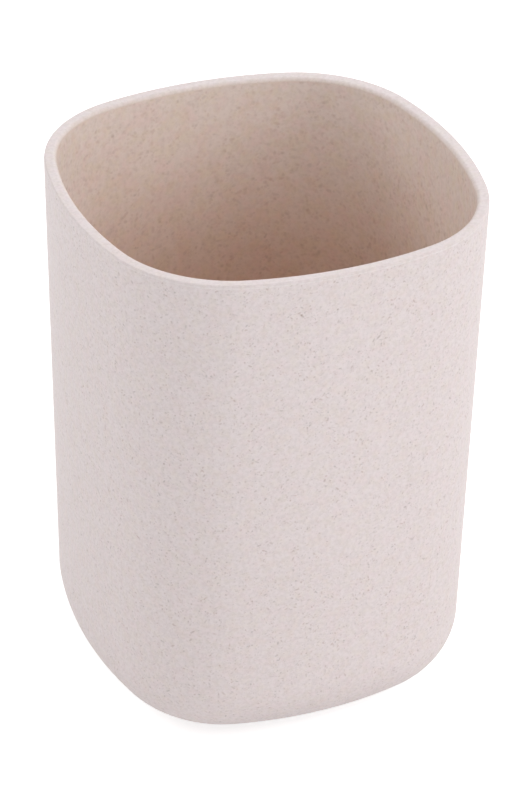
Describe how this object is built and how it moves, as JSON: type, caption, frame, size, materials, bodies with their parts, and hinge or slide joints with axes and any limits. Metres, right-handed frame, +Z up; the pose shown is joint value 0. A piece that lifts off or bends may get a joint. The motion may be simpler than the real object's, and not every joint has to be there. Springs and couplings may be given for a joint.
{
  "type": "bathroom tumbler",
  "caption": "Open bathroom tumbler of soft square plan with thin drafted walls, a flat rim and a large base rounding, on low non-slip pads.",
  "frame": {"origin": "on the surface that the tumbler stands on, under the middle of the cup", "axes": "+Z up, out of the cup's mouth; the cup's four flats face +X, -X, +Y and -Y"},
  "size_m": [0.076, 0.076, 0.1025],
  "materials": {
    "cup_plastic": "satin, pale pinkish beige with fine brown and grey fibre specks",
    "pad_rubber": "matt, pale warm grey"
  },
  "bodies": {
    "root": {"tumbler_body": "cup_plastic", "non_slip_pad_front_left": "pad_rubber", "non_slip_pad_front_right": "pad_rubber", "non_slip_pad_rear_left": "pad_rubber", "non_slip_pad_rear_right": "pad_rubber"}
  },
  "joints": []
}
